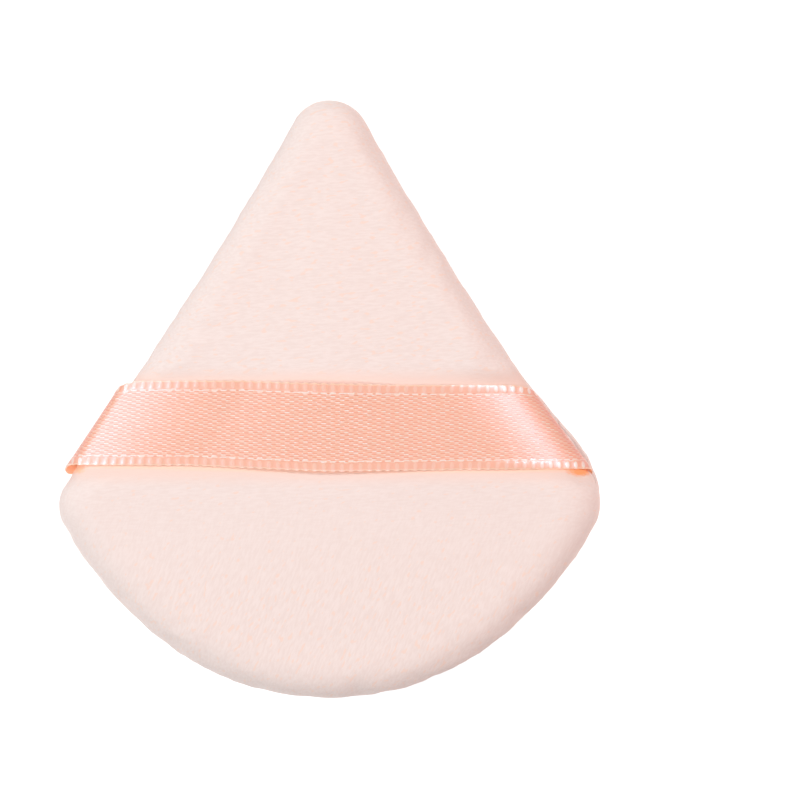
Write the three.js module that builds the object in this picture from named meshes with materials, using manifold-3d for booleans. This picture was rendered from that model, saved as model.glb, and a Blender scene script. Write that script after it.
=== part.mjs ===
// Triangular velour powder puff with a satin finger band.
// Millimetres, +Z up. The puff lies on its powder face at z = 0, with +Y to its tip and the band along X.
// Two velour covers are sewn together round a foam core, with the ends of the ribbon caught in the side seams.
import * as THREE from "three";
import { mergeVertices } from "three/addons/utils/BufferGeometryUtils.js";
import Module from "manifold-3d";

// Plan of the puff
const LENGTH = 70; // tip to base
const WIDTH = 63.5; // corner to corner
const CORNER_HEIGHT = 22.85; // widest points above the lowest point of the base
const BASE_RADIUS = 31.6; // bow of the base
const BASE_SWEEP = THREE.MathUtils.degToRad(36); // middle of the base to each flatter flank
const SIDE_HOLLOW = 0.62; // how far each side draws in between tip and corner
const CORE_TIP_RADIUS = 0.5; // tip of the foam inside its rolled edge
const CORE_CORNER_RADIUS = 0.9; // corners of the foam inside their rolled edge

// Section of the puff
const THICKNESS = 12; // powder face to ribbon face, without the band
const EDGE_ROLL = 4.4; // width of the rounded edge, seen from above
const CROWN = 0.7; // rise of the ribbon face above its shoulders
const FLAT_CUT = 0.5; // depth to which the crown of the powder face is flattened where it rests

// Velour and its seam
const VELOUR = 1.2; // pile and knitted back together
const SEAM_GAP = 0.3; // between the two covers along the seam
const SEAM_DRAW = 0.8; // how far the stitching draws the seam inside the outline
const ALLOWANCE = 3; // width of the seam allowance turned inside
const ALLOWANCE_THICKNESS = 0.8; // velour pressed flat inside the seam

// Sewing thread
const THREAD = 0.3; // diameter
const THREAD_GAP = 0.15; // thread to the fabric that it lies on
const STITCH = 3; // length of one machine stitch
const STITCH_SINK = 0.05; // how far a stitch dips towards its needle holes
const STITCH_MARGIN = 0.9; // stitch line to the drawn-in seam
const TURNING_GAP = 26; // length of the base left open for turning and filling
const CLOSING_STITCH = 2.4; // length of one stitch of the closing seam
const CLOSING_REACH = 0.35; // height that a closing stitch climbs up each lip
const CLOSING_INSET = 0.16; // closing thread inside the outline

// Foam
const FOAM_GAP = 0.3; // foam to the velour round it
const GROOVE_GAP = 0.4; // foam to the edge of the seam allowance

// Satin ribbon
const RIBBON_WIDTH = 10;
const RIBBON = 0.3; // thickness
const BAND_Y = -3.2; // middle of the band's width
const BAND_GAP = 0.3; // band to the velour under it
const BAND_SLACK = 0.8; // further rise of the band in the middle of its span
const TAIL = 2.6; // length of ribbon caught inside the seam
const TAIL_GAP = 0.3; // sewn-in end of the ribbon to the velour on each side
const FLEX_GAP = 0.3; // between the band that lifts and the ends that stay sewn in

// Facets
const BASE_STEPS = 4;
const FLANK_STEPS = 4;
const CORNER_STEPS = 5;
const SIDE_STEPS = 8;
const TIP_STEPS = 5;
const LIP_STEPS = 2;
const ROLL_STEPS = 6;
const CROWN_STEPS = 4;
const LINING_STEPS = 3;
const BAND_ROWS = 5;
const BAND_STEPS = 12;
const TAIL_STEPS = 5;
const STITCH_STEPS = 3;
const THREAD_SIDES = 4;
const ROLL_SWEEP = THREE.MathUtils.degToRad(84);

// Values that follow from the sizes above
const SEAM_Z = THICKNESS / 2;
const FLANGE = SEAM_GAP / 2 + ALLOWANCE_THICKNESS; // seam plane to the inner face of a seam allowance
const LIP = FLANGE + THREAD + 2 * THREAD_GAP + STITCH_SINK; // seam plane to the fullest line of the edge
const SHOULDER = SEAM_Z - CROWN;
const TIP_RADIUS = EDGE_ROLL + CORE_TIP_RADIUS;
const CORNER_RADIUS = EDGE_ROLL + CORE_CORNER_RADIUS;
const BAND_LOW = BAND_Y - RIBBON_WIDTH / 2;

const material = (color, roughness) => new THREE.MeshStandardMaterial({ color, roughness, metalness: 0 });
const VELOUR_PINK = material(0xf8e2dc, 0.95);
const SATIN_PEACH = material(0xf9bda6, 0.4);
const FOAM_WHITE = material(0xf6efe6, 0.9);
const THREAD_PINK = material(0xf3d6cc, 0.7);

// Outline: tip arc, hollow side arcs, corner arcs, flat flank arcs and base arc, each tangent to the next.
// Every arc keeps its centre when the outline is inset, so an inset outline is again tangent arcs.
const tip = new THREE.Vector2(0, LENGTH / 2 - TIP_RADIUS);
const corner = new THREE.Vector2(WIDTH / 2 - CORNER_RADIUS, CORNER_HEIGHT - LENGTH / 2);
const base = new THREE.Vector2(0, BASE_RADIUS - LENGTH / 2);
const bearing = (from, to) => Math.atan2(to.y - from.y, to.x - from.x);

// The flank arc leaves the end of the base arc along its normal and touches the corner circle from inside.
const baseEnd = BASE_SWEEP - Math.PI / 2;
const baseNormal = new THREE.Vector2(Math.cos(baseEnd), Math.sin(baseEnd));
const flankStart = base.clone().addScaledVector(baseNormal, BASE_RADIUS);
const cornerToFlank = flankStart.clone().sub(corner);
const flankClearance = baseNormal.dot(cornerToFlank) - CORNER_RADIUS;
const FLANK_RADIUS = (cornerToFlank.lengthSq() - CORNER_RADIUS ** 2) / (2 * flankClearance);
const flank = flankStart.clone().addScaledVector(baseNormal, -FLANK_RADIUS);

// The hollow side arc touches the tip and corner circles from outside.
const tipToCorner = corner.clone().sub(tip);
const sideChord = Math.sqrt(tipToCorner.lengthSq() - (CORNER_RADIUS - TIP_RADIUS) ** 2);
const SIDE_RADIUS = sideChord ** 2 / (8 * SIDE_HOLLOW) + SIDE_HOLLOW / 2;
function sideCentre() {
  const reach = tipToCorner.length();
  const fromTip = SIDE_RADIUS + TIP_RADIUS;
  const fromCorner = SIDE_RADIUS + CORNER_RADIUS;
  const along = (fromTip ** 2 - fromCorner ** 2 + reach ** 2) / (2 * reach);
  const across = Math.sqrt(fromTip ** 2 - along ** 2);
  const direction = tipToCorner.clone().divideScalar(reach);
  const outwards = new THREE.Vector2(-direction.y, direction.x);
  return tip.clone().addScaledVector(direction, along).addScaledVector(outwards, across);
}
const side = sideCentre();
const flankEnd = bearing(flank, corner);
const cornerEnd = bearing(corner, side);
const tipStart = bearing(tip, side);
const arc = (centre, radius, turn, from, to, steps) => ({ centre, radius, turn, from, to, steps });
const ARCS = [
  arc(base, BASE_RADIUS, -1, -Math.PI / 2, baseEnd, BASE_STEPS),
  arc(flank, FLANK_RADIUS, -1, baseEnd, flankEnd, FLANK_STEPS),
  arc(corner, CORNER_RADIUS, -1, flankEnd, cornerEnd, CORNER_STEPS),
  arc(side, SIDE_RADIUS, 1, cornerEnd + Math.PI, tipStart + Math.PI, SIDE_STEPS),
  arc(tip, TIP_RADIUS, -1, tipStart, Math.PI / 2, TIP_STEPS),
];

// Right half of the outline from the middle of the base to the tip, moved inwards by inset along its normals.
function halfOutline(inset) {
  const points = [];
  for (const { centre, radius, turn, from, to, steps } of ARCS) {
    const reach = radius + turn * inset;
    for (let k = 0; k < steps; k++) {
      const angle = THREE.MathUtils.lerp(from, to, k / steps);
      points.push(new THREE.Vector2(Math.cos(angle), Math.sin(angle)).multiplyScalar(reach).add(centre));
    }
  }
  points.push(new THREE.Vector2(0, LENGTH / 2 - inset));
  points[0].x = 0;
  return points;
}

// Half the width of the inset outline at one y.
function halfWidth(inset, y) {
  const points = halfOutline(inset);
  const upper = points.findIndex((p) => p.y >= y);
  const [a, b] = [points[upper - 1], points[upper]];
  return THREE.MathUtils.mapLinear(y, a.y, b.y, a.x, b.x);
}

// Past the rolled edge the rings shrink towards the crown, whose top lies under the middle of the band.
const CORE_REACH = halfWidth(EDGE_ROLL, BAND_Y);
const CROWN_INSET = EDGE_ROLL + CORE_REACH;
const crownPoint = (height) => new THREE.Vector3(0, BAND_Y, SEAM_Z + height);

// One closed ring round the puff, anticlockwise from above, at a height over the seam plane.
function ring({ inset, height }) {
  const rolled = Math.min(inset, EDGE_ROLL);
  const share = 1 - (inset - rolled) / CORE_REACH;
  const right = halfOutline(rolled);
  const left = right.slice(1, -1).reverse();
  const at = (x, y) => new THREE.Vector3(x * share, BAND_Y + (y - BAND_Y) * share, SEAM_Z + height);
  return [...right.map((p) => at(p.x, p.y)), ...left.map((p) => at(-p.x, p.y))];
}

// Sections are lists of { inset, height }. A skin is how far a surface lies inside the puff's outer face.
function rollAt(skin, angle) {
  return {
    inset: EDGE_ROLL - (EDGE_ROLL - skin) * Math.cos(angle),
    height: LIP + (SHOULDER - LIP - skin) * Math.sin(angle),
  };
}

function roll(skin, steps) {
  return Array.from({ length: steps + 1 }, (_, k) => rollAt(skin, (ROLL_SWEEP * k) / steps));
}

// Crown from the end of the roll inwards. A flattened crown would rise by cut more, and stops at the face.
function crown(skin, steps, cut) {
  const shoulder = rollAt(skin, ROLL_SWEEP);
  const top = SEAM_Z - skin;
  const rise = top + cut - shoulder.height;
  const least = Math.sqrt(1 - (top - shoulder.height) / rise);
  const last = cut > 0 ? steps : steps - 1;
  return Array.from({ length: last }, (_, k) => {
    const size = THREE.MathUtils.lerp(1, least, (k + 1) / steps);
    return {
      inset: CROWN_INSET - (CROWN_INSET - shoulder.inset) * size,
      height: shoulder.height + rise * (1 - size ** 2),
    };
  });
}

// Lip of a cover, from its fullest line round and down to the drawn-in seam.
function lip(steps) {
  return Array.from({ length: steps }, (_, k) => {
    const angle = ((k + 1) / steps) * (Math.PI / 2);
    return {
      inset: SEAM_DRAW * (1 - Math.cos(angle)),
      height: LIP - (LIP - SEAM_GAP / 2) * Math.sin(angle),
    };
  });
}

function geometryOf(points, triangles) {
  const geometry = new THREE.BufferGeometry().setFromPoints(points);
  geometry.setIndex(triangles);
  geometry.computeVertexNormals();
  return geometry;
}

// Closed solid from a first pole, rings in order and a last pole. Rings that climb face outwards.
function loft(firstPole, rings, lastPole) {
  const count = rings[0].length;
  const points = [firstPole, ...rings.flat(), lastPole];
  const triangles = [];
  const at = (i, k) => 1 + i * count + (k % count);
  for (let k = 0; k < count; k++) {
    triangles.push(0, at(0, k + 1), at(0, k));
    for (let i = 0; i + 1 < rings.length; i++) {
      triangles.push(at(i, k), at(i, k + 1), at(i + 1, k + 1));
      triangles.push(at(i, k), at(i + 1, k + 1), at(i + 1, k));
    }
    triangles.push(at(rings.length - 1, k), at(rings.length - 1, k + 1), points.length - 1);
  }
  return geometryOf(points, triangles);
}

// Closed sheet between two grids of points with the same rows and columns, face outwards and back inwards.
function sheet(face, back) {
  const columns = face[0].length;
  const points = [...face.flat(), ...back.flat()];
  const triangles = [];
  const quad = (a, b, c, d) => triangles.push(a, b, c, a, c, d);
  const front = (i, j) => i * columns + j;
  const rear = (i, j) => (face.length + i) * columns + j;
  for (let i = 0; i + 1 < face.length; i++) {
    for (let j = 0; j + 1 < columns; j++) {
      quad(front(i, j), front(i + 1, j), front(i + 1, j + 1), front(i, j + 1));
      quad(rear(i, j), rear(i, j + 1), rear(i + 1, j + 1), rear(i + 1, j));
    }
    const end = columns - 1;
    quad(rear(i, 0), rear(i + 1, 0), front(i + 1, 0), front(i, 0));
    quad(rear(i + 1, end), rear(i, end), front(i, end), front(i + 1, end));
  }
  const last = face.length - 1;
  for (let j = 0; j + 1 < columns; j++) {
    quad(rear(0, j + 1), rear(0, j), front(0, j), front(0, j + 1));
    quad(rear(last, j), rear(last, j + 1), front(last, j + 1), front(last, j));
  }
  return geometryOf(points, triangles);
}

// Boolean cuts
const wasm = await Module();
wasm.setup();
function solid(geometry) {
  const bare = new THREE.BufferGeometry().setAttribute("position", geometry.getAttribute("position"));
  const merged = mergeVertices(bare.setIndex(geometry.index));
  const vertProperties = new Float32Array(merged.getAttribute("position").array);
  const triVerts = new Uint32Array(merged.index.array);
  return new wasm.Manifold(new wasm.Mesh({ numProp: 3, vertProperties, triVerts }));
}

function cut(geometry, tools) {
  const left = tools.reduce((body, tool) => body.subtract(solid(tool)), solid(geometry));
  const mesh = left.getMesh();
  const made = new THREE.BufferGeometry();
  made.setAttribute("position", new THREE.BufferAttribute(mesh.vertProperties, 3));
  made.setIndex(new THREE.BufferAttribute(mesh.triVerts, 1));
  made.computeVertexNormals();
  return made;
}

// Rows of the ribbon across its width, with an equal margin added on both edges.
function ribbonRows(margin) {
  const low = BAND_LOW - margin;
  const width = RIBBON_WIDTH + 2 * margin;
  return Array.from({ length: BAND_ROWS + 1 }, (_, j) => low + (width * j) / BAND_ROWS);
}

// One line of points across the ribbon on the right side, following the slant of the puff's edge.
const acrossRight = ({ inset, height }, margin) =>
  ribbonRows(margin).map((y) => new THREE.Vector3(halfWidth(inset, y), y, SEAM_Z + height));

// Flat pocket that the sewn-in end of the ribbon presses into the velour on both sides of the seam.
function tailPocket() {
  const half = RIBBON / 2 + TAIL_GAP;
  const inner = SEAM_DRAW + TAIL + TAIL_GAP;
  const outer = -EDGE_ROLL;
  const line = (inset, height) => acrossRight({ inset, height }, TAIL_GAP);
  return sheet([line(inner, half), line(outer, half)], [line(inner, -half), line(outer, -half)]);
}

function mirrored(geometry) {
  const made = geometry.clone().scale(-1, 1, 1);
  const index = made.index.array;
  for (let i = 0; i < index.length; i += 3) [index[i], index[i + 1]] = [index[i + 1], index[i]];
  return made;
}

// Velour cover, from the lining up to its outer face, with the seam allowance turned in along the seam plane.
// facing is 1 for the ribbon face above the seam and -1 for the powder face below it.
function coverGeometry(facing, flatCut) {
  const turned = SEAM_DRAW + ALLOWANCE;
  const lining = [...crown(VELOUR, LINING_STEPS, flatCut).reverse(), ...roll(VELOUR, LINING_STEPS).reverse()];
  const allowance = [
    { inset: VELOUR, height: FLANGE },
    { inset: turned, height: FLANGE },
    { inset: turned, height: SEAM_GAP / 2 },
  ];
  const outside = [...lip(LIP_STEPS).reverse(), ...roll(0, ROLL_STEPS), ...crown(0, CROWN_STEPS, flatCut)];
  const section = [...lining, ...allowance, ...outside];
  const rings = section.map(({ inset, height }) => ring({ inset, height: facing * height }));
  const poles = [crownPoint(facing * (SEAM_Z - VELOUR)), crownPoint(facing * SEAM_Z)];
  const shell = facing > 0 ? loft(poles[0], rings, poles[1]) : loft(poles[1], rings.reverse(), poles[0]);
  return cut(shell, [tailPocket(), mirrored(tailPocket())]);
}

// Die-cut foam, with the groove that the seam allowances press into its edge.
function foamGeometry() {
  const skin = VELOUR + FOAM_GAP;
  const groove = SEAM_DRAW + ALLOWANCE + GROOVE_GAP;
  const above = [...roll(skin, LINING_STEPS), ...crown(skin, LINING_STEPS, 0)];
  const below = [...roll(skin, LINING_STEPS), ...crown(skin, LINING_STEPS, FLAT_CUT)];
  const section = [
    ...below.reverse().map(({ inset, height }) => ({ inset, height: -height })),
    { inset: groove, height: -LIP },
    { inset: groove, height: LIP },
    ...above,
  ];
  return loft(crownPoint(skin - SEAM_Z), section.map(ring), crownPoint(SEAM_Z - skin));
}

// Band, from its left end just over the sewn-in part, across the ribbon face, to its right end.
function bandGeometry() {
  const face = (skin) => {
    const shoulder = rollAt(skin, ROLL_SWEEP);
    const rise = SEAM_Z - skin + BAND_SLACK - shoulder.height;
    const end = { ...rollAt(skin, 0), height: LIP + FLEX_GAP };
    const right = [end, ...roll(skin, ROLL_STEPS).slice(1)].map((place) => acrossRight(place, 0));
    const left = right.map((line) => line.map((p) => new THREE.Vector3(-p.x, p.y, p.z)));
    const top = Array.from({ length: BAND_STEPS - 1 }, (_, k) => {
      const share = -1 + (2 * (k + 1)) / BAND_STEPS;
      const lift = rise * (1 - share ** 2);
      return right.at(-1).map((p) => new THREE.Vector3(p.x * share, p.y, p.z + lift));
    });
    return [...left, ...top, ...right.reverse()];
  };
  return sheet(face(-BAND_GAP - RIBBON), face(-BAND_GAP));
}

// Right end of the ribbon: down round the lip of the upper cover and in between the seam allowances.
function tailGeometry() {
  const face = (stand, drop) => {
    const path = Array.from({ length: TAIL_STEPS + 1 }, (_, k) => {
      const angle = (k / TAIL_STEPS) * (Math.PI / 2);
      return {
        inset: SEAM_DRAW - (SEAM_DRAW + stand) * Math.cos(angle),
        height: LIP - (LIP + drop) * Math.sin(angle),
      };
    });
    path.push({ inset: SEAM_DRAW + TAIL, height: -drop });
    return path.map((place) => acrossRight(place, 0));
  };
  return sheet(face(BAND_GAP + RIBBON, RIBBON / 2), face(BAND_GAP, -RIBBON / 2));
}

// Round section of a thread, swept along a curve.
function threadGeometry(curve, steps) {
  const corners = Array.from({ length: THREAD_SIDES }, (_, k) => {
    const turn = (2 * Math.PI * k) / THREAD_SIDES;
    return new THREE.Vector2(Math.cos(turn), Math.sin(turn)).multiplyScalar(THREAD / 2);
  });
  const section = new THREE.Shape(corners);
  return new THREE.ExtrudeGeometry(section, { steps, extrudePath: curve, bevelEnabled: false });
}

// Thread that runs beside the seam and rises and falls once for every stitch.
class StitchLine extends THREE.Curve {
  constructor(inset, from, length, stitches, height) {
    super();
    this.seam = new THREE.CatmullRomCurve3(ring({ inset, height: 0 }), true);
    const whole = this.seam.getLength();
    Object.assign(this, { from: from / whole, share: length / whole, stitches, height });
  }

  getPoint(t) {
    const point = this.seam.getPointAt((this.from + this.share * t + 1) % 1);
    point.z += this.height(2 * Math.PI * this.stitches * t);
    return point;
  }
}

// Machine seam from one side of the turning gap round to the other, on the face of one seam allowance.
function machineSeam(facing) {
  const inset = SEAM_DRAW + STITCH_MARGIN;
  const whole = new THREE.CatmullRomCurve3(ring({ inset, height: 0 }), true).getLength();
  const length = whole - TURNING_GAP;
  const stitches = Math.round(length / STITCH);
  const middle = FLANGE + THREAD_GAP + THREAD / 2 + STITCH_SINK / 2;
  const wave = (phase) => facing * (middle - (STITCH_SINK / 2) * Math.cos(phase));
  const line = new StitchLine(inset, TURNING_GAP / 2, length, stitches, wave);
  return threadGeometry(line, stitches * STITCH_STEPS);
}

// Hand seam that closes the turning gap, from lip to lip in the groove of the seam.
function closingSeam() {
  const stitches = Math.round(TURNING_GAP / CLOSING_STITCH);
  const wave = (phase) => CLOSING_REACH * Math.sin(phase);
  const line = new StitchLine(CLOSING_INSET, -TURNING_GAP / 2, TURNING_GAP, stitches, wave);
  return threadGeometry(line, stitches * STITCH_STEPS * 2);
}

function piece(name, geometry, finish) {
  const mesh = new THREE.Mesh(geometry, finish);
  mesh.name = name;
  return mesh;
}

const pad = new THREE.Group();
pad.add(piece("powder_face_cover", coverGeometry(-1, FLAT_CUT), VELOUR_PINK));
pad.add(piece("ribbon_face_cover", coverGeometry(1, 0), VELOUR_PINK));
pad.add(piece("foam_core", foamGeometry(), FOAM_WHITE));
pad.add(piece("seam_needle_thread", machineSeam(1), THREAD_PINK));
pad.add(piece("seam_bobbin_thread", machineSeam(-1), THREAD_PINK));
pad.add(piece("closing_thread", closingSeam(), THREAD_PINK));
pad.add(piece("ribbon_end_right", tailGeometry(), SATIN_PEACH));
pad.add(piece("ribbon_end_left", mirrored(tailGeometry()), SATIN_PEACH));

const puff = new THREE.Group();
puff.add(pad);
puff.add(piece("finger_band", bandGeometry(), SATIN_PEACH));

export default puff;
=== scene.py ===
import math

import bmesh
import bpy
import numpy as np
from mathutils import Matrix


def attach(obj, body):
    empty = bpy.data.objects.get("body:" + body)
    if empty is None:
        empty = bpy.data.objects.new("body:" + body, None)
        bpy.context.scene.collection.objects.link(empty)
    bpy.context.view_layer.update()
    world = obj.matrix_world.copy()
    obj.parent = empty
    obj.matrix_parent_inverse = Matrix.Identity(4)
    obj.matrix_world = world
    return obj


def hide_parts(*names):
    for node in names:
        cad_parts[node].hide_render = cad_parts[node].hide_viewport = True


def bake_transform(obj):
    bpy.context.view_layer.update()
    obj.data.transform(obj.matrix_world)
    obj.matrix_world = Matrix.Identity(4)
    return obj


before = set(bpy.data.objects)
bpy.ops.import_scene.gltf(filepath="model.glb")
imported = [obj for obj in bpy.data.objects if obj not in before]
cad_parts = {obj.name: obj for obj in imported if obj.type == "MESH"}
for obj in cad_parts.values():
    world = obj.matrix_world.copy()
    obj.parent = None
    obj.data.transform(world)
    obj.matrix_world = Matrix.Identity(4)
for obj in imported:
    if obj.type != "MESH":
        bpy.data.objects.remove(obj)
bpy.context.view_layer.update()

# Sewn skin
# Two panels of short-pile velour, cut alike and sewn together all round with the pile outside.
# The stitches draw the edge in along the seam, and the fabric swells between them over the foam.
MM = 0.001
puff_length, puff_width, puff_thickness = 70.0, 63.5, 12.0
seam_height = puff_thickness / 2
corner_height, base_radius, base_sweep, side_hollow = 22.85, 31.6, 36.0, 0.62
edge_roll, tip_radius, corner_radius = 4.4, 4.9, 5.3
seam_draw, lip_height, shoulder_height = 0.8, 1.6, 5.3
roll_end, rest_press, seam_strip, edge_step = 84, 0.5, 0.4, 0.5
stitch_length = 3.0
ribbon_y = -3.2


def outline_arcs():
    """Right half of the outline, from base to tip, as (centre, radius, change with inset, angles)."""
    tip = np.array((0, puff_length / 2 - tip_radius))
    corner = np.array((puff_width / 2 - corner_radius, corner_height - puff_length / 2))
    base = np.array((0, base_radius - puff_length / 2))
    base_end = math.radians(base_sweep - 90)
    normal = np.array((math.cos(base_end), math.sin(base_end)))
    start = base + base_radius * normal
    reach = start - corner
    flank_radius = (reach @ reach - corner_radius**2) / (2 * (normal @ reach - corner_radius))
    flank = start - flank_radius * normal
    down = corner - tip
    span = np.linalg.norm(down)
    chord = math.sqrt(span**2 - (corner_radius - tip_radius) ** 2)
    side_radius = chord**2 / (8 * side_hollow) + side_hollow / 2
    from_tip, from_corner = side_radius + tip_radius, side_radius + corner_radius
    along = (from_tip**2 - from_corner**2 + span**2) / (2 * span)
    across = math.sqrt(from_tip**2 - along**2)
    side = tip + down / span * along + np.array((-down[1], down[0])) / span * across

    def bearing(a, b):
        return math.atan2(b[1] - a[1], b[0] - a[0])

    flank_end, corner_end, tip_start = bearing(flank, corner), bearing(corner, side), bearing(tip, side)
    return [
        (base, base_radius, -1, -math.pi / 2, base_end),
        (flank, flank_radius, -1, base_end, flank_end),
        (corner, corner_radius, -1, flank_end, corner_end),
        (side, side_radius, 1, corner_end + math.pi, tip_start + math.pi),
        (tip, tip_radius, -1, tip_start, math.pi / 2),
    ]


def half_outline(inset, spacing):
    """Points of the right half, moved inwards by inset. Every inset has the same number of points."""
    points = []
    for centre, radius, turn, start, end in outline_arcs():
        steps = max(3, math.ceil(radius * abs(end - start) / spacing))
        angles = np.linspace(start, end, steps + 1)[:-1]
        reach = radius + turn * inset
        points.append(centre + reach * np.stack((np.cos(angles), np.sin(angles)), 1))
    points = np.concatenate(points + [np.array([[0, puff_length / 2 - inset]])])
    points[0, 0] = 0
    return points


def half_width(inset, y):
    """Half the width of the outline at y, moved in evenly from the edge through the end of its roll."""
    edge, rolled = half_outline(0, edge_step), half_outline(edge_roll, edge_step)
    at_edge = np.interp(y, edge[:, 1], edge[:, 0])
    return at_edge + (np.interp(y, rolled[:, 1], rolled[:, 0]) - at_edge) * inset / edge_roll


def outline(inset, spacing):
    """Closed outline, anticlockwise. Past the rolled edge it shrinks towards the middle of the ribbon."""
    rolled = min(inset, edge_roll)
    right = half_outline(rolled, spacing)
    loop = np.concatenate((right, right[-2:0:-1] * (-1, 1)))
    reach = half_width(edge_roll, ribbon_y)
    return (loop - (0, ribbon_y)) * (1 - (inset - rolled) / reach) + (0, ribbon_y)


def edge_section(lip, depth, pressed):
    """Section of a layer at a depth under the face, from seam to crown, as (inset, height) past a lip.
    A pressed face is flat in its middle."""
    section = list(lip)
    for angle in np.radians(np.linspace(0, roll_end, 9)):
        section.append((
            edge_roll - (edge_roll - depth) * math.cos(angle),
            lip_height + (shoulder_height - lip_height - depth) * math.sin(angle),
        ))
    reach = edge_roll + half_width(edge_roll, ribbon_y)
    inset, shoulder = section[-1]
    top = seam_height - depth
    for size in (0.9, 0.75, 0.6, 0.45, 0.3, 0.15):
        height = shoulder + (top + pressed - shoulder) * (1 - size**2)
        section.append((reach - (reach - inset) * size, min(height, top)))
    return section


def pulled_form(name, spacing, seam_inset, lip, depth):
    """Closed puff form in millimetres: a flat panel on the seam, pulled up and then down ring by ring."""
    bpy.ops.object.select_all(action="DESELECT")
    seam = outline(seam_inset, spacing)
    bpy.ops.mesh.primitive_circle_add(vertices=len(seam), radius=puff_width / 2, fill_type="NGON")
    form = bpy.context.object
    form.name = form.data.name = name
    bpy.ops.object.mode_set(mode="EDIT")
    cage = bmesh.from_edit_mesh(form.data)
    place = cage.verts.layers.int.new("place")
    for i, vert in enumerate(cage.verts):
        vert[place] = i
        vert.co = (*seam[i], 0)
    for facing, pressed in ((1, 0.0), (-1, rest_press)):
        for inset, height in edge_section(lip, depth, pressed):
            bpy.ops.mesh.extrude_region_move()
            ring = outline(inset, spacing)
            cage = bmesh.from_edit_mesh(form.data)
            place = cage.verts.layers.int["place"]
            for vert in (v for v in cage.verts if v.select):
                vert.co = (*ring[vert[place]], facing * height)
        bpy.ops.mesh.select_all(action="DESELECT")
        cage = bmesh.from_edit_mesh(form.data)
        for face in (f for f in cage.faces if all(vert.co.z == 0 for vert in f.verts)):
            face.select_set(True)
    bpy.ops.mesh.select_all(action="SELECT")
    bpy.ops.mesh.normals_make_consistent(inside=False)
    bpy.ops.object.mode_set(mode="OBJECT")
    return form


def select_only(piece):
    """Makes a piece the active one and the only one that is selected."""
    bpy.ops.object.select_all(action="DESELECT")
    piece.select_set(True)
    bpy.context.view_layer.objects.active = piece


def applied(piece, kind, **settings):
    """Adds a modifier with these settings and applies it."""
    select_only(piece)
    modifier = piece.modifiers.new(kind.title(), kind)
    for name, value in settings.items():
        setattr(modifier, name, value)
    bpy.ops.object.modifier_apply(modifier=modifier.name)


def points_of(piece):
    """Places of the vertices of a piece, one in each row."""
    found = np.empty(len(piece.data.vertices) * 3)
    piece.data.vertices.foreach_get("co", found)
    return found.reshape(-1, 3)


def put_points(piece, points):
    """Moves the vertices of a piece to these places."""
    piece.data.vertices.foreach_set("co", np.asarray(points, float).ravel())
    piece.data.update()


rolled_lip = [(seam_draw * (1 - math.cos(turn)), lip_height * (1 - math.sin(turn)))
              for turn in np.radians((60, 30))]
skin = pulled_form("velour_skin", spacing=1.0, seam_inset=seam_draw, lip=rolled_lip, depth=0.0)
applied(skin, "REMESH", mode="VOXEL", voxel_size=0.8)
beyond_seam = "beyond the seam"
loose = skin.vertex_groups.new(name=beyond_seam)
for index, height in enumerate(points_of(skin)[:, 2]):
    loose.add([index], min(max(abs(height) / seam_strip - 1, 0.0), 1.0), "REPLACE")
applied(skin, "SMOOTH", factor=0.5, iterations=3, vertex_group=beyond_seam)
skin_points = points_of(skin)

# Bow of the ribbon over the edges
# The ribbon bends down over both edges and presses the velour and the foam under it. On the left it stands
# off in a sharp fold. On the right it bends in a long round, so that velour shows outside it.
bow_low, bow_rise, bow_gap = 0.9, 4.82, 0.17
ribbon_lift = 0.43
bow_stand = {1: (0.0, 0.43), -1: (0.75, 0.65)}
bow_reach = {1: (6.0, 6.0), -1: (1.0, 1.0)}
bow_squareness = {1: (5.0, 5.0), -1: (6.0, 3.0)}
bow_start, bow_slope = 11.0, {1: 0.5, -1: 0.305}
ribbon_ends = {1: (1.6, -8.1), -1: (2.1, -7.6)}
middle_top, middle_low = 1.75, -8.3
ribbon_half_width, pocket_depth = 5.0, {1: 0.6, -1: 0.9}
bulge_out, bulge_y, bulge_up, bulge_down = 1.5, -6.2, 4.9, 2.6
dent_in, dent_y, dent_spread = 0.45, -9.3, 1.2
pocket_run, bulge_run, bow_entry = 1.5, 6.0, 4.0
press_margin, press_fade, bow_fade = 0.3, 1.2, 0.8
push_start, edge_slant = 0.5, 1.2


def bow_height(hand, inset, reach, stand, power):
    """Height of the bow over the seam: a rounded fold at the end of a slope that grows steeper."""
    share = np.clip((reach - inset) / (reach + stand), 0, 1)
    sloped = np.clip(bow_start - inset, 0, None) ** 2 / (2 * bow_start)
    return bow_low + (bow_rise - bow_slope[hand] * sloped) * (1 - share**power) ** (1 / power)


def span_height(way):
    """Height of the ribbon over the seam between its bows. way is 0 in the middle and 1 at a bow."""
    arch = np.clip(1 - way**2, 0, 1) ** 1.5
    return bow_low + bow_rise + (seam_height + ribbon_lift - bow_low - bow_rise) * arch


edge_line = outline(0, edge_step)


def nearest_edge(points):
    """How far points lie inside the outline, and where along it, in millimetres."""
    gaps = np.linalg.norm(points[:, None, :2] - edge_line[None], axis=2)
    return gaps.min(1), gaps.argmin(1) * edge_step


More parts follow.
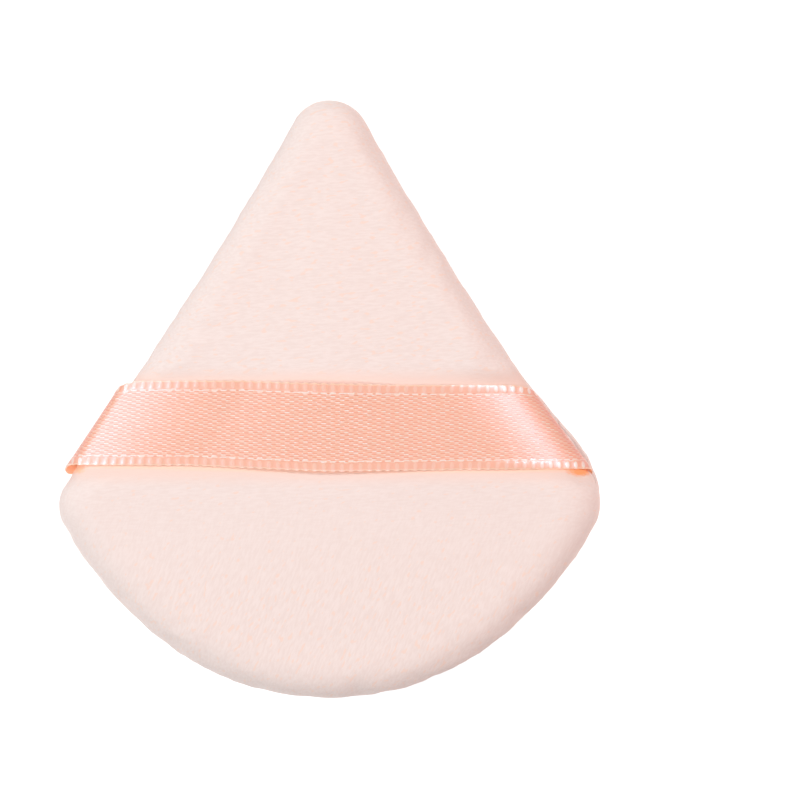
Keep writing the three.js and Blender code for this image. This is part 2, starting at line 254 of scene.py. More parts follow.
def pressed_by_ribbon(points, depth):
    """Points of a layer this deep under the face of the velour, moved out of the way of the ribbon."""
    points = points.copy()
    inset = nearest_edge(points)[0]
    for hand in (1, -1):
        x, y, z = points.T
        there = (x * hand > 0) & (z > 0)
        reach, stand, power = (
            np.interp(y, ribbon_ends[hand][::-1], sizes[hand][::-1])
            for sizes in (bow_reach, bow_stand, bow_squareness)
        )
        pocket = pocket_depth[hand] * np.clip(2 - inset / pocket_run, 0, 1)
        beyond = np.abs(y - ribbon_y + pocket / 2) - ribbon_half_width - pocket / 2
        in_bow = np.clip((bow_start - inset) / bow_entry, 0, 1)
        beside = np.clip((beyond + press_margin) / (press_fade + bow_fade * in_bow), 0, 1)
        pressed = 1 - beside**2 * (3 - 2 * beside)
        push = np.clip(bow_gap + depth - stand - inset, 0, None)
        push = push * np.clip(z / push_start, 0, 1) * pressed
        way = np.abs(x) / half_width(bow_start, y)
        over = np.where(way < 1, span_height(way), bow_height(hand, inset + push, reach, stand, power))
        press = np.maximum(z - over + bow_gap + depth, 0) * pressed
        points[there, 0] -= hand * edge_slant * push[there]
        points[there, 2] -= press[there]
    x, y, z = points.T
    off = (y - bulge_y) / np.where(y > bulge_y, bulge_up, bulge_down)
    at_edge = np.clip(1 - inset / bulge_run, 0, 1)
    bulge = bulge_out * np.exp(-off**2 / 2) * np.clip(1 - z, 0, 1) * at_edge
    dent = dent_in * np.exp(-((y - dent_y) / dent_spread) ** 2 / 2) * at_edge
    points[:, 0] += np.where(x > 0, bulge, dent)
    return points


skin_points = pressed_by_ribbon(skin_points, 0.0)

# Swelling of the sewn skin
# The cloth is held at each needle hole of the seam, by the foam behind its flat faces and under the ribbon.
# It settles at ten times its size, because cloth moves more steadily at the size of a chair cushion.
cloth_scale = 0.01
edge_swell, face_swell = 0.08, 0.35
seam_reach, needle_hole = 0.75, 0.7
ribbon_shift, ribbon_reach, ribbon_hold = 0.3, 6.0, 0.95
face_start, face_run, face_hold = 3.0, 5.0, 0.6
cloth_steps = 20
inset_of, along_edge = nearest_edge(skin_points)
stitch_phase = np.abs((along_edge / stitch_length) % 1 - 0.5) * 2
near_seam = np.abs(skin_points[:, 2]) < seam_reach
off_ribbon = np.abs(skin_points[:, 1] - ribbon_y - ribbon_shift)
under_ribbon = (skin_points[:, 2] > 1) & (off_ribbon < ribbon_reach)
hold = np.clip((inset_of - face_start) / face_run, 0, 1) * face_hold
hold[under_ribbon] = ribbon_hold
hold[near_seam] = np.where(stitch_phase[near_seam] > needle_hole, 1.0, 0.0)
held = skin.vertex_groups.new(name="held")
for index, weight in enumerate(hold):
    held.add([index], float(weight), "REPLACE")
put_points(skin, skin_points * cloth_scale)
select_only(skin)
cloth = skin.modifiers.new("Swelling", "CLOTH")
cloth.settings.quality = 5
cloth.settings.mass = 0.3
cloth.settings.tension_stiffness = 8
cloth.settings.compression_stiffness = 8
cloth.settings.bending_stiffness = 0.4
cloth.settings.shrink_min = -0.015
cloth.settings.use_pressure = True
cloth.settings.uniform_pressure_force = 6
cloth.settings.vertex_group_mass = "held"
cloth.settings.effector_weights.gravity = 0
for step in range(1, cloth_steps + 1):
    bpy.context.scene.frame_set(step)
bpy.ops.object.modifier_apply(modifier=cloth.name)
bpy.context.scene.frame_set(1)
moved = points_of(skin) / cloth_scale - skin_points
far = np.linalg.norm(moved, axis=1)
up_the_roll = np.clip((np.abs(skin_points[:, 2]) - lip_height) / 2, 0, 1)
limit = edge_swell + (face_swell - edge_swell) * up_the_roll
skin_points = skin_points + moved * np.minimum(1, limit / np.maximum(far, 1e-6))[:, None]
skin_points[:, 2] = np.maximum(skin_points[:, 2], -seam_height)
put_points(skin, (skin_points + (0, 0, seam_height)) * MM)
applied(skin, "SMOOTH", factor=0.5, iterations=2, vertex_group=beyond_seam)

# Ribbon face cover and powder face cover
# The two halves of the skin, parted along the seam, each with its cut edge turned in as a seam allowance.
# Short-pile velour on a knitted back: very pale peach pink, matt, with a soft nap and faint flecks.
seam_gap, allowance_width, velour_thickness = 0.1, 3.0, 0.9
nap_depth, nap_size, merge_gap = 0.035, 1.1, 0.35


def smooth_faces(piece):
    """Shades every face of a piece smooth."""
    piece.data.polygons.foreach_set("use_smooth", [True] * len(piece.data.polygons))


def half_skin(name, facing):
    """One cover: the skin on its side of the seam, with its turned-in allowance, thickness and nap."""
    select_only(skin)
    bpy.ops.object.duplicate()
    cover = bpy.context.object
    cover.name = cover.data.name = name
    cover.vertex_groups.clear()
    bpy.ops.object.mode_set(mode="EDIT")
    bpy.ops.mesh.select_all(action="SELECT")
    cut = (seam_height + facing * seam_gap / 2) * MM
    bpy.ops.mesh.bisect(plane_co=(0, 0, cut), plane_no=(0, 0, facing), clear_inner=True)
    bpy.ops.mesh.select_mode(type="EDGE")
    for merge in (True, False):
        bpy.ops.mesh.select_all(action="DESELECT")
        bpy.ops.mesh.select_non_manifold(use_wire=False, use_multi_face=False, use_non_contiguous=False)
        if merge:
            bpy.ops.mesh.remove_doubles(threshold=merge_gap * MM)
    bpy.ops.mesh.extrude_edges_move()
    shrink = 1 - allowance_width / (puff_width / 2)
    bpy.ops.transform.resize(value=(shrink, shrink, 1), center_override=(0, ribbon_y * MM, cut))
    bpy.ops.mesh.select_all(action="SELECT")
    bpy.ops.mesh.normals_make_consistent(inside=False)
    bpy.ops.mesh.select_mode(type="VERT")
    bpy.ops.object.mode_set(mode="OBJECT")
    applied(cover, "SUBSURF", levels=1, render_levels=1)
    pile = bpy.data.textures.new("pile", "CLOUDS")
    pile.noise_scale, pile.noise_depth = nap_size * MM, 2
    applied(cover, "DISPLACE", texture=pile, strength=nap_depth * MM, mid_level=0.5)
    applied(cover, "SOLIDIFY", thickness=velour_thickness * MM, offset=-1)
    smooth_faces(cover)
    return cover


ribbon_face_cover = half_skin("ribbon_face_cover_velour", 1)
powder_face_cover = half_skin("powder_face_cover_velour", -1)
bpy.data.objects.remove(skin)


def new_material(name, **values):
    """A node material whose shader has these values on its own sockets."""
    material = bpy.data.materials.new(name)
    material.use_nodes = True
    shader = material.node_tree.nodes["Principled BSDF"]
    for socket, value in values.items():
        shader.inputs[socket.replace("_", " ")].default_value = value
    return material, material.node_tree, shader


def add_node(tree, kind, *links, node_tree=None, **values):
    """A shader node with these values, whose first inputs take the given sockets or numbers."""
    node = tree.nodes.new("ShaderNode" + kind)
    if node_tree:
        node.node_tree = node_tree
    for name, value in values.items():
        if name.replace("_", " ").title() in node.inputs:
            node.inputs[name.replace("_", " ").title()].default_value = value
        else:
            setattr(node, name, value)
    for socket, value in zip(node.inputs, links):
        if isinstance(value, bpy.types.NodeSocket):
            tree.links.new(value, socket)
        elif value is not None:
            socket.default_value = value
    return node


def blend_colours(tree, share, low, high, kind="MIX"):
    """Mix of two colours, which are sockets or (red, green, blue), by a share from 0 to 1."""
    node = tree.nodes.new("ShaderNodeMix")
    node.data_type, node.blend_type = "RGBA", kind
    for socket, value in ((node.inputs[0], share), (node.inputs[6], low), (node.inputs[7], high)):
        if isinstance(value, bpy.types.NodeSocket):
            tree.links.new(value, socket)
        else:
            socket.default_value = (*value, 1)
    return node.outputs[2]


def blend_values(tree, share, low, high):
    """Mix of two numbers by a share from 0 to 1."""
    return add_node(tree, "Mix", share, None, low, high).outputs[0]


def between(tree, value, low, high, smooth=True):
    """The value's place between low and high, from 0 to 1."""
    node = add_node(tree, "MapRange", value, low, high)
    if smooth:
        node.interpolation_type = "SMOOTHSTEP"
    return node.outputs[0]


def math_node(tree, operation, *values):
    """Result of a sum on sockets or numbers."""
    return add_node(tree, "Math", *values, operation=operation).outputs[0]


def fibre_streaks():
    """Node group of streaky noise, like short fibres of a length and width that lie at a turn to +X."""
    group = bpy.data.node_groups.new("fibre streaks", "ShaderNodeTree")
    group.interface.new_socket("Place", in_out="INPUT", socket_type="NodeSocketVector")
    for name in ("Turn", "Length", "Width", "Detail"):
        group.interface.new_socket(name, in_out="INPUT", socket_type="NodeSocketFloat")
    group.interface.new_socket("Streaks", in_out="OUTPUT", socket_type="NodeSocketFloat")
    place, turn, length, width, detail = group.nodes.new("NodeGroupInput").outputs[:5]
    turned = add_node(group, "CombineXYZ", 0.0, 0.0, turn).outputs[0]
    size = add_node(group, "CombineXYZ", length, width, width).outputs[0]
    lay = add_node(group, "Mapping", place, None, turned, size, vector_type="TEXTURE").outputs[0]
    noise = add_node(group, "TexNoise", lay, scale=1.0)
    group.links.new(detail, noise.inputs["Detail"])
    group.links.new(noise.outputs["Fac"], group.nodes.new("NodeGroupOutput").inputs[0])
    return group


streaks = fibre_streaks()


def fibres_of(tree, place, turn, length, width, detail):
    """Streaks for one material, with the turn in degrees and the sizes in the units of the place."""
    links = (place, math.radians(turn), length, width, detail)
    return add_node(tree, "Group", *links, node_tree=streaks).outputs[0]


def surface(tree, shader, tone, roughness, relief, strength, depth):
    """Links a material's colour, roughness and fine relief, whose depth is in millimetres."""
    bump = add_node(tree, "Bump", strength=strength, distance=depth * MM)
    tree.links.new(relief, bump.inputs["Height"])
    for value, socket in ((tone, "Base Color"), (roughness, "Roughness"), (bump.outputs[0], "Normal")):
        tree.links.new(value, shader.inputs[socket])


def coat(piece, material):
    """Gives a piece this material and no other."""
    piece.data.materials.clear()
    piece.data.materials.append(material)


velour, tree, shader = new_material(
    "velour", Specular_IOR_Level=0.15,
    Sheen_Weight=0.2, Sheen_Roughness=0.5, Sheen_Tint=(1.0, 0.93, 0.92, 1),
)
place = add_node(tree, "TexCoord").outputs["Object"]
side, level, height = add_node(tree, "SeparateXYZ", place).outputs
towards_base = between(tree, level, -4 * MM, -24 * MM)
upper_nap = fibres_of(tree, place, turn=4, length=1.1 * MM, width=0.24 * MM, detail=2.0)
base_nap = fibres_of(tree, place, turn=68, length=1.0 * MM, width=0.26 * MM, detail=2.0)
nap = blend_values(tree, towards_base, upper_nap, base_nap)
upper_fleck = fibres_of(tree, place, turn=8, length=0.9 * MM, width=0.36 * MM, detail=0.0)
base_fleck = fibres_of(tree, place, turn=60, length=0.8 * MM, width=0.36 * MM, detail=0.0)
fleck = blend_values(tree, towards_base, upper_fleck, base_fleck)
tone = blend_colours(tree, between(tree, nap, 0.3, 0.7), (0.84, 0.71, 0.672), (0.875, 0.757, 0.724))
tone = blend_colours(tree, between(tree, fleck, 0.64, 0.76), tone, (0.88, 0.695, 0.62))
above = between(tree, height, seam_height * MM, 1.5 * seam_height * MM)
from_ribbon = math_node(tree, "ABSOLUTE", math_node(tree, "SUBTRACT", level, ribbon_y * MM))
# Painted bounce light: the velour beside and under the ribbon on the upper cover is tinted warmer, as if
# lit by light off the ribbon.
ribbon_bounce_run = 2.2
beside = between(tree, from_ribbon, (ribbon_half_width + ribbon_bounce_run) * MM, ribbon_half_width * MM)
tone = blend_colours(tree, math_node(tree, "MULTIPLY", beside, above), tone, (0.89, 0.68, 0.61))


def pocket_glow(x, y, length, width):
    """Mask of an oval spot of painted glow on the upper cover, at a place and of a size in millimetres."""
    spot = add_node(tree, "Mapping", place, (x * MM, y * MM, 0), None, (length * MM, width * MM, 1))
    spot.vector_type = "TEXTURE"
    away = add_node(tree, "VectorMath", spot.outputs[0], operation="LENGTH").outputs["Value"]
    return math_node(tree, "MULTIPLY", between(tree, math_node(tree, "ADD", away, nap), 1.7, 0.9), above)


# Painted glow: a warm strip on the velour just under the ribbon's lower edge, standing in for light through
# the thin ribbon.
half_span, glow_run, glow_full = 28, 0.5, 0.1
left_end, middle = ribbon_ends[-1][1] * MM, middle_low * MM
rise = (ribbon_ends[1][1] - middle_low) * MM
left_line = add_node(tree, "MapRange", side, -half_span * MM, 0.0, left_end, middle).outputs[0]
right_rise = add_node(tree, "MapRange", side, 0.0, half_span * MM, 0.0, rise).outputs[0]
lower_edge = math_node(tree, "ADD", left_line, right_rise)
below = math_node(tree, "SUBTRACT", lower_edge, level)
line_glow = math_node(tree, "MULTIPLY", between(tree, below, glow_run * MM, glow_full * MM), above)
line_glow = math_node(tree, "MULTIPLY", line_glow, between(tree, level, -5 * MM, -6 * MM))
tone = blend_colours(tree, line_glow, tone, (1.0, 0.68, 0.55))
# Painted glow: orange spots on the velour at the ribbon's lower corners, standing in for light through the
# tucked ribbon.
right_pocket_glow = pocket_glow(x=29.3, y=-8.4, length=1.7, width=0.6)
left_pocket_glow = pocket_glow(x=-29.3, y=-8.1, length=1.2, width=0.6)
tone = blend_colours(tree, right_pocket_glow, tone, (0.98, 0.4, 0.17))
tone = blend_colours(tree, left_pocket_glow, tone, (0.97, 0.63, 0.44))
surface(tree, shader, tone, blend_values(tree, nap, 1.0, 0.88), nap, strength=0.3, depth=0.12)
for cover, node in ((ribbon_face_cover, "ribbon_face_cover"), (powder_face_cover, "powder_face_cover")):
    coat(cover, velour)
    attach(cover, "pad")
    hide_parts(node)

# Foam core
# One pad of soft open-cell foam, cut to the shape of the puff and stuffed in before the skin is closed.
# The seam allowances press a groove into its edge, and the ribbon presses it down a little.
foam_gap, groove_gap, pore_size = 0.3, 0.4, 0.55
groove_inset = seam_draw + allowance_width + groove_gap
foam_depth = velour_thickness + foam_gap
groove_lip = [(groove_inset, 0.7 * lip_height), (groove_inset - 0.6, 0.95 * lip_height)]
foam = pulled_form("foam_core_pad", spacing=1.2, seam_inset=groove_inset, lip=groove_lip, depth=foam_depth)
applied(foam, "REMESH", mode="VOXEL", voxel_size=0.7)
foam_points = pressed_by_ribbon(points_of(foam), foam_depth)
put_points(foam, (foam_points + (0, 0, seam_height)) * MM)
smooth_faces(foam)
foam_white, tree, shader = new_material("foam", Specular_IOR_Level=0.2)
place = add_node(tree, "TexCoord").outputs["Object"]
cells = add_node(tree, "TexVoronoi", place, scale=1 / (pore_size * MM)).outputs["Distance"]
wall = between(tree, cells, 0.2, 0.55)
# The pores are painted darker than the cell walls: painted shade in the hollows.
tone = blend_colours(tree, wall, (0.66, 0.56, 0.46), (0.91, 0.86, 0.78))
yellowing = fibres_of(tree, place, turn=0, length=9 * MM, width=9 * MM, detail=2.0)
tone = blend_colours(tree, between(tree, yellowing, 0.35, 0.8), tone, (0.86, 0.78, 0.64))
surface(tree, shader, tone, blend_values(tree, wall, 1.0, 0.8), wall, strength=0.8, depth=0.2)
coat(foam, foam_white)
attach(foam, "pad")
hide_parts("foam_core")

# Seam threads
# Two-ply polyester sewing thread. A machine lockstitch runs round inside the skin, with a needle thread
# on one seam allowance and a bobbin thread on the other. It stops on both sides of the turning gap.
thread_size, ply_turn, stitch_inset, stitch_sink = 0.3, 0.9, 1.7, 0.05
turning_gap = 26.0


def walk(inset, start, end, step):
    """Points along the outline from start to end, in millimetres from the middle of the base."""
    loop = outline(inset, edge_step)
    loop = np.concatenate((loop, loop[:1]))
    run = np.concatenate(([0], np.cumsum(np.linalg.norm(np.diff(loop, axis=0), axis=1))))
    distance = np.arange(start, end + step / 2 if end > 0 else run[-1] + end, step)
    found = [np.interp(distance % run[-1], run, loop[:, axis]) for axis in (0, 1)]
    return np.stack(found, 1), distance - start


def plied_thread(name, path):
    """Two plies twisted along a path in millimetres, with closed ends."""
    along = np.gradient(path, axis=0)
    along /= np.linalg.norm(along, axis=1, keepdims=True)
    side = np.cross(along, (0, 0, 1))
    side /= np.linalg.norm(side, axis=1, keepdims=True)
    rise = np.cross(side, along)
    run = np.concatenate(([0], np.cumsum(np.linalg.norm(np.diff(path, axis=0), axis=1))))
    strands = bpy.data.curves.new(name, "CURVE")
    strands.dimensions = "3D"
    strands.bevel_depth, strands.bevel_resolution = thread_size / 4 * MM, 1
    strands.use_fill_caps = True
    for ply in (0, math.pi):
        turn = 2 * math.pi * run / ply_turn + ply
        centre = path + thread_size / 4 * (np.cos(turn)[:, None] * side + np.sin(turn)[:, None] * rise)
        strand = strands.splines.new("POLY")
        strand.points.add(len(centre) - 1)
        strand.points.foreach_set("co", np.column_stack((centre * MM, np.ones(len(centre)))).ravel())
    thread = bpy.data.objects.new(name, strands)
    bpy.context.scene.collection.objects.link(thread)
    select_only(thread)
    bpy.ops.object.convert(target="MESH")
    bpy.ops.object.shade_smooth()
    return bpy.context.object


spun, tree, shader = new_material("sewing thread", Specular_IOR_Level=0.35, Sheen_Weight=0.15)
place = add_node(tree, "TexCoord").outputs["Object"]
fuzz = fibres_of(tree, place, turn=35, length=0.25 * MM, width=0.05 * MM, detail=2.0)
tone = blend_colours(tree, between(tree, fuzz, 0.3, 0.7), (0.8, 0.6, 0.53), (0.93, 0.77, 0.71))
surface(tree, shader, tone, between(tree, fuzz, 1.1, 0.2, smooth=False), fuzz, strength=0.4, depth=0.02)


def sewn_in(thread, node):
    """Gives a thread its material, and its place on the pad."""
    coat(thread, spun)
    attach(thread, "pad")
    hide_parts(node)


lie = seam_gap / 2 + velour_thickness + thread_size / 2
for facing, node in ((1, "seam_needle_thread"), (-1, "seam_bobbin_thread")):
    line, distance = walk(stitch_inset, turning_gap / 2, -turning_gap / 2, step=0.12)
    dip = stitch_sink * (0.5 + 0.5 * np.cos(2 * math.pi * distance / stitch_length))
    lockstitch = plied_thread(node + "_plies", np.column_stack((line, seam_height + facing * (lie - dip))))
    sewn_in(lockstitch, node)

# Closing thread
# The same thread, sewn by hand in ladder stitches from lip to lip of the turning gap once the foam is in.
# It lies in the groove of the seam, on the middle of the base.
ladder_stitch, ladder_reach, thread_sink = 2.4, 0.3, 0.17
probe_start, deepest_lip, evened_over = 2, 0.5, 11
line, distance = walk(0.0, -turning_gap / 2, turning_gap / 2, step=0.08)
climb = seam_height + ladder_reach * np.sin(2 * math.pi * distance / ladder_stitch)
outwards = np.stack((np.gradient(line[:, 1]), -np.gradient(line[:, 0])), 1)
outwards /= np.linalg.norm(outwards, axis=1, keepdims=True)
lip_inset = []
for (x, y), z, (out_x, out_y) in zip(line, climb, outwards):
    found = [deepest_lip]
    for cover in (ribbon_face_cover, powder_face_cover):
        start = ((x + probe_start * out_x) * MM, (y + probe_start * out_y) * MM, z * MM)
        hit, spot = cover.ray_cast(start, (-out_x, -out_y, 0))[:2]
        if hit:
            found.append(math.dist(spot, start) / MM - probe_start)
    lip_inset.append(min(found))
lip_inset = np.pad(lip_inset, evened_over // 2, mode="edge")
lip_inset = np.convolve(lip_inset, np.ones(evened_over) / evened_over, mode="valid")
line = line + outwards * (thread_size / 2 - thread_sink - lip_inset)[:, None]
closing = plied_thread("closing_thread_plies", np.column_stack((line, climb)))
sewn_in(closing, "closing_thread")

# Satin ribbon
# One length of 10 mm double-faced satin ribbon with ribbed selvages, laid across the pad as a finger band.
# Each end turns down round the edge of the upper cover and is caught in the side seam.
ribbon_width, ribbon_thickness = 2 * ribbon_half_width, 0.14
pick_pitch, yarn_pitch, harness = 0.527, 0.1, 5
selvage_width, rib_pitch, rib_height = 0.95, 2 * pick_pitch, 0.055
corner_run, sewn_in_length, ribbon_step, scallop_depth = 1.9, 2.6, 0.13, 0.08


def ribbon_half(name, hand, drop, slip, tuck):
    """Half of the ribbon, from the middle to its sewn-in end. hand is 1 on the right and -1 on the left.
    drop is how far its upper and lower edge turn towards the base just before the fold, slip how far in the
    fold, and tuck how far below it."""
    across = np.concatenate((
        np.linspace(0, selvage_width, 9),
        np.linspace(selvage_width + 0.2, ribbon_width - selvage_width - 0.2, 21),
        np.linspace(ribbon_width - selvage_width, ribbon_width, 9),
    ))
    share = across / ribbon_width
    bow = (bow_reach[hand], bow_stand[hand], bow_squareness[hand])
    reach, stand, power, end_y, slip_y, drop_y = (
        low + (high - low) * share for high, low in (*bow, ribbon_ends[hand], slip, drop)
    )
    middle_y = middle_low + (middle_top - middle_low) * share
    lines = []
    for way in np.linspace(0, 1, 110)[:-1]:
        y = middle_y + (end_y - middle_y) * way
        lines.append((half_width(bow_start, y) * way, y, np.full_like(y, span_height(way))))
    for way in np.linspace(0, 1, 40)[:-1]:
        inset = bow_start + (reach - bow_start) * way
        lines.append((half_width(inset, end_y), end_y, bow_height(hand, inset, reach, stand, power)))
    for angle in np.radians(np.linspace(90, 0, 150)):
        inset = reach - (reach + stand) * max(math.cos(angle), 0) ** (2 / power)
        turned_down = np.clip(1 - (inset + stand) / corner_run, 0, 1) ** 1.5
        y = end_y - drop_y * turned_down - slip_y * (1 - math.sin(angle)) ** 2
        lines.append((half_width(inset, y), y, bow_height(hand, inset, reach, stand, power)))
    for angle in np.radians(np.linspace(0, 90, 20))[1:]:
        inset = seam_draw - (seam_draw + stand) * math.cos(angle)
        y = end_y - drop_y - slip_y - tuck * math.sin(angle)
        lines.append((half_width(inset, y), y, np.full_like(y, bow_low * (1 - math.sin(angle)))))
    for inset in np.linspace(seam_draw + 0.2, seam_draw + sewn_in_length, 10):
        y = end_y - drop_y - slip_y - tuck
        lines.append((half_width(inset, y), y, np.zeros_like(y)))
    grid = np.array([np.stack((hand * x, y, seam_height + z), 1) for x, y, z in lines])
    middle = grid[:, len(across) // 2]
    run = np.concatenate(([0], np.cumsum(np.linalg.norm(np.diff(middle, axis=0), axis=1))))
    even = np.linspace(0, run[-1], round(run[-1] / ribbon_step) + 1)
    grid = np.stack([np.stack([np.interp(even, run, grid[:, j, k]) for k in range(3)], 1)
                     for j in range(len(across))], 1)
    strides = np.linalg.norm(np.diff(grid, axis=0, prepend=grid[:1]), axis=2)
    thread_length = np.cumsum(strides, axis=0)
    along = np.gradient(grid, axis=0)
    sideways = np.gradient(grid, across, axis=1)
    sideways /= np.linalg.norm(sideways, axis=2, keepdims=True)
    outward = np.cross(along, sideways) * hand
    outward /= np.linalg.norm(outward, axis=2, keepdims=True)
    to_edge = np.minimum(across, ribbon_width - across)[None, :]
    rib = (0.5 - 0.5 * np.cos(2 * math.pi * thread_length / rib_pitch)) ** 1.5
    ridge = np.sin(math.pi * np.clip(to_edge / selvage_width, 0, 1)) ** 0.5
    ridge = ridge * rib_height * (0.3 + 0.7 * rib)
    scallop = np.clip(1 - to_edge / selvage_width, 0, 1) ** 2 * scallop_depth * (rib - 0.5)
    scallop = scallop * np.where(across > ribbon_width / 2, 1, -1)[None, :]
    grid = grid + outward * ridge[..., None] + sideways * scallop[..., None]
    rows, columns = grid.shape[:2]
    bpy.ops.object.select_all(action="DESELECT")
    bpy.ops.mesh.primitive_grid_add(x_subdivisions=columns - 1, y_subdivisions=rows - 1, size=1)
    half = bpy.context.object
    half.name = half.data.name = name
    put_points(half, grid.reshape(-1, 3) * MM)
    weave = half.data.attributes.new("weave", "FLOAT_VECTOR", "POINT")
    lie = np.stack((
        hand * thread_length.ravel(),
        np.tile(across, rows),
        1 - outward[..., 2].ravel(),
    ), 1)
    weave.data.foreach_set("vector", lie.ravel())
    if hand > 0:
        half.data.flip_normals()
    half.data.materials.append(None)
    half.data.materials.append(None)
    applied(half, "SOLIDIFY", thickness=ribbon_thickness * MM, offset=0, material_offset=1)
    bpy.ops.object.shade_smooth_by_angle(angle=math.radians(50))
    return half, run[-1]


ribbon_right, right_length = ribbon_half(
    "ribbon_right_half", 1, drop=(0.25, 0.0), slip=(0.65, 0.1), tuck=0.9)
ribbon_left, left_length = ribbon_half(
    "ribbon_left_half", -1, drop=(0.6, 0.0), slip=(0.4, 0.6), tuck=0.7)
satin, tree, shader = new_material(
    "satin", IOR=1.65, Specular_IOR_Level=1.0, Specular_Tint=(0.72, 0.74, 1.0, 1),
    Subsurface_Weight=0.12, Subsurface_Radius=(1.0, 0.45, 0.3), Subsurface_Scale=0.4 * MM,
)
where = add_node(tree, "Attribute", attribute_name="weave").outputs["Vector"]
along, across, fold = add_node(tree, "SeparateXYZ", where).outputs


def from_middle(tree, value, pitch):
    """Distance of a value from the middle of its step of this pitch."""
    share = math_node(tree, "FRACT", math_node(tree, "DIVIDE", value, pitch))
    off = math_node(tree, "ABSOLUTE", math_node(tree, "SUBTRACT", share, 0.5))
    return math_node(tree, "MULTIPLY", off, pitch)


def turned(tree, first, second, first_share, second_share):
    """Sum of two values, each times its own share."""
    second = math_node(tree, "MULTIPLY", second, second_share)
    return math_node(tree, "MULTIPLY_ADD", first, first_share, second)


repeat = harness * pick_pitch * yarn_pitch
first = turned(tree, along, across, 3 * yarn_pitch / repeat, -pick_pitch / repeat)
second = turned(tree, along, across, 2 * yarn_pitch / repeat, pick_pitch / repeat)


def dashes(tree, first, second, half_length, half_height):
    """Short marks along the ribbon, one in each cell of the weave's slanted grid."""
    first = math_node(tree, "SUBTRACT", math_node(tree, "FRACT", first), 0.5)
    second = math_node(tree, "SUBTRACT", math_node(tree, "FRACT", second), 0.5)
    off_along = math_node(tree, "ABSOLUTE", turned(tree, first, second, pick_pitch, pick_pitch))
    off_across = math_node(tree, "ABSOLUTE", turned(tree, first, second, -2 * yarn_pitch, 3 * yarn_pitch))
    in_length = between(tree, off_along, 1.25 * half_length, 0.75 * half_length)
    in_height = between(tree, off_across, 1.5 * half_height, 0.5 * half_height)
    return math_node(tree, "MULTIPLY", in_length, in_height)


dip_shift = 0.3
dip_first = math_node(tree, "ADD", first, dip_shift)
dip_second = math_node(tree, "ADD", second, -dip_shift)
tie = dashes(tree, first, second, half_length=0.28, half_height=0.043)
dip = dashes(tree, dip_first, dip_second, half_length=0.28, half_height=0.036)
to_edge = math_node(tree, "MINIMUM", across, math_node(tree, "SUBTRACT", ribbon_width, across))
body = between(tree, to_edge, selvage_width - 0.1, selvage_width + 0.02)
rib_middle, rib_half_along, rib_half_across, dash_inset = 0.47, 0.24, 0.42, 0.14
from_rib = from_middle(tree, along, rib_pitch)
rib_along = math_node(tree, "DIVIDE", from_rib, rib_half_along)
rib_across = math_node(tree, "DIVIDE", math_node(tree, "SUBTRACT", to_edge, rib_middle), rib_half_across)
rib_along, rib_across = (math_node(tree, "POWER", part, 2.0) for part in (rib_along, rib_across))
rib = between(tree, math_node(tree, "ADD", rib_along, rib_across), 1.3, 0.5)
line = math_node(tree, "ABSOLUTE", math_node(tree, "SUBTRACT", to_edge, selvage_width + dash_inset))
line = between(tree, line, 0.1, 0.03)
dash = math_node(tree, "MULTIPLY", between(tree, from_rib, 0.42, 0.3), line)
patches = fibres_of(tree, where, turn=0, length=0.6, width=0.4, detail=1.0)
tie = math_node(tree, "MULTIPLY", tie, between(tree, patches, 0.25, 0.7))
# The dip dashes beside the pale ties are painted darker: painted shade where the weave dips.
tone = blend_colours(tree, dip, (0.985, 0.555, 0.41), (0.91, 0.31, 0.18))
tone = blend_colours(tree, tie, tone, (1.0, 0.9, 0.85))
# Painted highlight: the ribs of the selvages turn pale as the ribbon tilts down towards its ends, and stay
# faint where it lies flat.
shine = blend_values(tree, between(tree, fold, 0.0, 0.1), 0.2, 1.0)
lit_rib = math_node(tree, "MULTIPLY", rib, shine)
edge_tone = blend_colours(tree, lit_rib, (0.98, 0.52, 0.375), (1.0, 0.88, 0.83))
tone = blend_colours(tree, body, edge_tone, tone)
tone = blend_colours(tree, dash, tone, (1.0, 0.82, 0.74))
# Painted shade: darker where the ribbon turns steeply down over the edge.
tone = blend_colours(tree, between(tree, fold, 0.1, 0.45), tone, (0.85, 0.66, 0.55), "MULTIPLY")
# Painted glow: light orange where the ribbon faces down, under its folds, standing in for light through the
# thin satin.
tone = blend_colours(tree, between(tree, fold, 1.0, 1.4), tone, (1.0, 0.56, 0.36))
tone = blend_colours(tree, between(tree, to_edge, 0.17, 0.05), tone, (1.0, 0.68, 0.5))
height = math_node(tree, "MULTIPLY", tie, body)
height = math_node(tree, "ADD", height, math_node(tree, "MULTIPLY", dash, 0.8))
surface(tree, shader, tone, blend_values(tree, tie, 0.33, 0.38), height, strength=0.25, depth=0.05)
# The inner face glows faintly orange: painted light standing in for light through the thin satin.
glowing_satin_inside = satin.copy()
glowing_satin_inside.name = "satin inside with painted glow"
shader = glowing_satin_inside.node_tree.nodes["Principled BSDF"]
shader.inputs["Emission Color"].default_value = (1.0, 0.45, 0.2, 1)
shader.inputs["Emission Strength"].default_value = 0.22
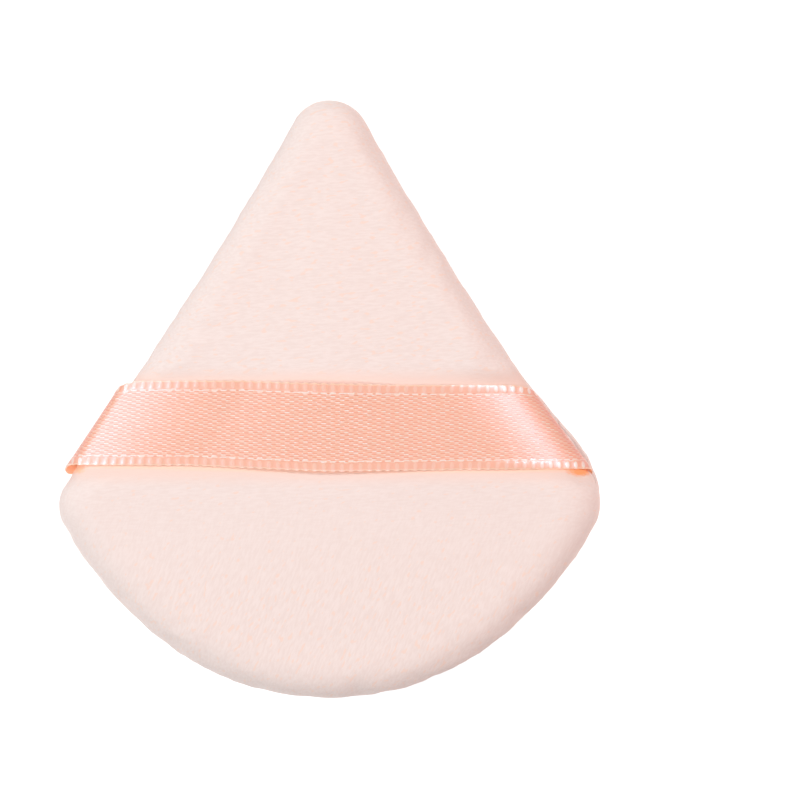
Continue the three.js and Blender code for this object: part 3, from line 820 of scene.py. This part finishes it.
for half, end, hand, length in (
    (ribbon_right, "ribbon_end_right", 1, right_length),
    (ribbon_left, "ribbon_end_left", -1, left_length),
):
    half.data.materials[0], half.data.materials[1] = satin, glowing_satin_inside
    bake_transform(half)
    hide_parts(end, "finger_band")

# Studio
# A white sheet, soft light from above and both sides, and a camera straight over the puff.
photo_pixels, pixel_size = 800, 0.11686
view_span = photo_pixels * pixel_size
lens, sensor = 120, 36
camera_x, camera_y, scale_height = 8.24, -0.1, 7.6
camera_data = bpy.data.cameras.new("camera")
camera_data.lens, camera_data.sensor_width = lens, sensor
camera = bpy.data.objects.new("camera", camera_data)
bpy.context.scene.collection.objects.link(camera)
camera.location = (camera_x * MM, camera_y * MM, (view_span * lens / sensor + scale_height) * MM)
bpy.context.scene.camera = camera

bpy.ops.object.select_all(action="DESELECT")
bpy.ops.mesh.primitive_plane_add(size=3, location=(0, 0, -0.0002))
floor = bpy.context.object
floor.name = "floor"
paper = new_material(
    "paper", Roughness=1.0, Base_Color=(0.36, 0.36, 0.36, 1),
    Emission_Color=(1, 1, 1, 1), Emission_Strength=0.86,
)[0]
coat(floor, paper)

world = bpy.data.worlds.new("studio")
bpy.context.scene.world = world
world.use_nodes = True
world.node_tree.nodes["Background"].inputs["Color"].default_value = (1, 1, 1, 1)
world.node_tree.nodes["Background"].inputs["Strength"].default_value = 0.01
bpy.context.scene.view_settings.view_transform = "Standard"


def softbox(name, place, size, power, colour=(1, 1, 1)):
    """Round area light at a place in millimetres, facing the puff."""
    data = bpy.data.lights.new(name, "AREA")
    data.shape, data.size, data.energy, data.color = "DISK", size * MM, power, colour
    lamp = bpy.data.objects.new(name, data)
    bpy.context.scene.collection.objects.link(lamp)
    lamp.location = [p * MM for p in place]
    lamp.rotation_euler = (-lamp.location).to_track_quat("-Z", "Y").to_euler()


softbox("left softbox", (-411, 0, 472), size=210, power=1.7)
softbox("left tip softbox", (-300, 300, 424), size=260, power=0.8)
softbox("right tip softbox", (300, 300, 424), size=210, power=1.64, colour=(1, 0.945, 0.92))
softbox("base softbox", (0, -327, 503), size=260, power=1.1)
softbox("right low softbox", (420, -40, 130), size=260, power=0.3, colour=(1, 0.22, 0.08))
